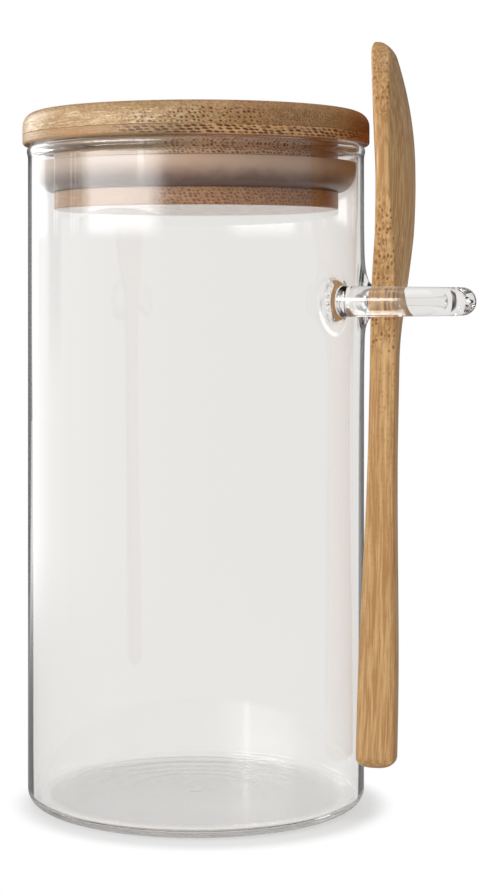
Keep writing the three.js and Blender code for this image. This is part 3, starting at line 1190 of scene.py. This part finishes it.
def softbox(name, azimuth, elevation, distance, size, watts, fade=0.0):
    """Area lamp round the jar; azimuth is degrees from the camera's side towards the right."""
    lamp = bpy.data.lights.new(name, "AREA")
    lamp.shape = "RECTANGLE"
    lamp.size, lamp.size_y = size
    lamp.energy = watts / (1 - fade)
    if fade:
        fade_edges(lamp, fade)
    piece = add_object(name, lamp)
    turn, rise = math.radians(azimuth), math.radians(elevation)
    level = math.cos(rise)
    way = Vector((math.sin(turn) * level, -math.cos(turn) * level, math.sin(rise)))
    piece.location = lamp_aim + way * distance
    piece.rotation_euler = way.to_track_quat("Z", "Y").to_euler()
    piece.visible_camera = False
    piece.visible_transmission = False


def fade_edges(lamp, fade):
    """Lets a lamp's face grow dark towards its sides, as a diffuser cloth does."""
    tree = empty_tree(lamp)
    face = add_node(tree, "NewGeometry").outputs["Parametric"]
    edge = calc(tree, "PINGPONG", split(tree, face)["X"], 0.5)
    glow = add_node(tree, "Emission", {"Strength": ramp(tree, edge, 0.0, fade)})
    show(tree, glow.outputs[0], "OutputLight")


def photo_camera():
    """Level camera in front of the jar, shifted to frame it as the photograph does."""
    data = bpy.data.cameras.new("camera")
    camera = add_object("camera", data)
    image_width, image_height = 498, 894
    focal_pixels = 2090.8
    axis_column, horizon_row = 196.0, 293.9
    data.sensor_width = 36.0
    data.lens = data.sensor_width * focal_pixels / image_height
    data.shift_x = (image_width / 2 - axis_column) / image_height
    data.shift_y = -(image_height / 2 - horizon_row) / image_height
    camera.location = (0.0, -camera_distance, camera_height)
    camera.rotation_euler = (math.pi / 2, 0.0, 0.0)
    bpy.context.scene.camera = camera


# Looks of each bamboo piece. Light and dark are its ground; fibre and streak are a bundle's
# colour on end grain and along the wood. Spacing, slant, scatter and dot_size place the bundles;
# patch, patch_level, dot_side and bands say where they show. A pair that ends in _side, and the
# span of the tip's darkening, is where across or along the wood a look starts and where it is
# full. On the side towards the key lamp, a tint paints light and shade and the glint colour
# paints glints.

nowhere = (300.0, 310.0)
everywhere = (-2.0, -1.0)
whole_board = ((-board_span, 1.0), (board_span, 1.0))
spoon_bands = (
    (-board_span, 0.2), (60, 0.2), (95, 0.6), (118, 0.9), (148, 0.9), (154, 0.0), (168, 0.0),
    (174, 0.8), (board_span, 0.8),
)
board_looks = {
    "bundles": "2D", "bands": whole_board, "dot_side": everywhere, "dense_side": nowhere,
    "fibre_size": (0.36, 0.36, 6.0), "flecks": 0.25, "tip_darkening": nowhere, "painted_glint": 0.4,
    "glint": (0.80, 0.56, 0.34, 1), "patch_level": 0.2, "roughness": 0.32,
}
upper_looks = dict(
    board_looks, seed=3.0, light=(0.58, 0.35, 0.165, 1), dark=(0.36, 0.18, 0.075, 1),
    fibre=(0.085, 0.036, 0.02, 1), streak=(0.31, 0.14, 0.055, 1), glint=(0.80, 0.60, 0.36, 1),
    spacing=(1.25, 0.95, 1.0), dot_size=0.21, slant=0.4, scatter=0.6,
    patch=(5.0, 3.0, 12.0), patch_level=0.38, dense_side=(2.0, 12.0),
    end_grain=(0.72, 0.90), streaks=0.45, grain_strength=0.75, strip=21.0, painted_glint=0.6,
    painted_key_tint=(0.90, 1.02, 1.06), painted_key_side=(2.0, -22.0), ruddy_side=(26.0, 40.0),
)
lower_looks = dict(
    board_looks, seed=11.0, light=(0.80, 0.47, 0.235, 1), dark=(0.60, 0.315, 0.14, 1),
    fibre=(0.085, 0.032, 0.017, 1), streak=(0.46, 0.19, 0.07, 1), glint=(0.72, 0.50, 0.30, 1),
    spacing=(1.75, 0.72, 1.0), dot_size=0.31, slant=0.9, scatter=0.35,
    patch=(8.0, 8.0, 14.0),
    end_grain=(0.60, 0.78), streaks=0.6, grain_strength=0.7, strip=24.0,
    painted_key_tint=(0.50, 0.57, 0.56), painted_key_side=(-5.0, -22.0), ruddy_side=(16.0, 32.0),
)
flange_looks = dict(
    board_looks, seed=7.0, light=(0.62, 0.32, 0.14, 1), dark=(0.41, 0.175, 0.072, 1),
    fibre=(0.19, 0.075, 0.035, 1), streak=(0.36, 0.15, 0.06, 1),
    spacing=(1.1, 0.8, 1.0), dot_size=0.26, slant=0.5, scatter=0.5,
    patch=(6.0, 4.0, 10.0), patch_level=0.3, dense_side=(16.0, 28.0),
    end_grain=(0.68, 0.86), streaks=0.4, grain_strength=0.6, strip=18.0,
    painted_key_tint=(0.66, 0.74, 0.77), painted_key_side=(-6.0, -24.0), ruddy_side=(16.0, 30.0),
    roughness=0.3,
)
# Painted light: the neck's ground is paler than the flange's, for the light that the table
# bounces up under the cap.
brightened_neck_looks = dict(
    flange_looks, seed=9.0, light=(0.96, 0.68, 0.44, 1), dark=(0.80, 0.50, 0.29, 1),
)
spoon_looks = dict(
    board_looks, seed=5.0, light=(0.82, 0.52, 0.24, 1), dark=(0.52, 0.27, 0.10, 1),
    fibre=(0.25, 0.10, 0.035, 1), streak=(0.40, 0.18, 0.06, 1), bundles="3D",
    spacing=(1.0, 0.95, 1.35), dot_size=0.27, slant=0.0, scatter=0.55,
    patch=(9.0, 9.0, 18.0), dot_side=(0.55, 0.80), bands=spoon_bands,
    fibre_size=(0.5, 0.5, 14.0), flecks=0.12, tip_darkening=(150.0, 184.0),
    end_grain=(0.02, 0.10), streaks=0.55, grain_strength=0.85, strip=50.0,
    painted_key_tint=(1.0, 1.0, 1.0), painted_key_side=nowhere, ruddy_side=nowhere, roughness=0.36,
)


def board_grain(azimuth):
    """Rows of a turn into the wood's own frame, for a board whose fibres lie at an azimuth."""
    turn = -math.radians(azimuth)
    return Matrix((
        (math.cos(turn), -math.sin(turn), 0.0),
        (0.0, 0.0, 1.0),
        (-math.sin(turn), -math.cos(turn), 0.0),
    ))


def dress(piece, body, slot, material, *nodes):
    piece.data.materials.append(material)
    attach(piece, body)
    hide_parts(*nodes)


# The jar on its stage

upper_wood = bamboo("bamboo_cap_upper", board_grain(14), upper_looks)
lower_wood = bamboo("bamboo_cap_lower", board_grain(20), lower_looks)
flange_wood = bamboo("bamboo_flange", board_grain(18), flange_looks)
neck_wood = bamboo("bamboo_neck", board_grain(18), brightened_neck_looks)
spoon_wood = bamboo("bamboo_spoon", spoon_matrix().to_3x3().transposed(), spoon_looks)

dress(glass_jar(), "jar", "clear_glass", clear_glass(), "glass_body", "spoon_loop")
dress(cap_upper(), "lid", "bamboo_cap", upper_wood, "lid_cap_upper_ply")
dress(cap_lower(), "lid", "bamboo_cap", lower_wood, "lid_cap_lower_ply")
dress(plug_neck(), "lid", "bamboo_plug", neck_wood, "lid_plug_neck")
dress(plug_flange(), "lid", "bamboo_plug", flange_wood, "lid_plug_flange")
dress(seal(), "lid", "silicone", silicone(), "seal_ring")
dress(bamboo_spoon(), "spoon", "bamboo_spoon", spoon_wood, "spoon")

stage_floor()
studio_world()
softbox("key_light", -52, 15, 1.1, (1.7, 0.5), 10.0, 0.25)
softbox("right_fill", 95, 25, 1.2, (0.5, 0.8), 0.6)
softbox("top_light", 20, 80, 1.2, (0.9, 0.9), 4.0)
photo_camera()

scene = bpy.context.scene
scene.view_settings.view_transform = "Standard"
scene.cycles.max_bounces = 64
scene.cycles.transmission_bounces = 64
scene.cycles.glossy_bounces = 48
scene.cycles.transparent_max_bounces = 24
scene.cycles.caustics_reflective = False
scene.cycles.caustics_refractive = False
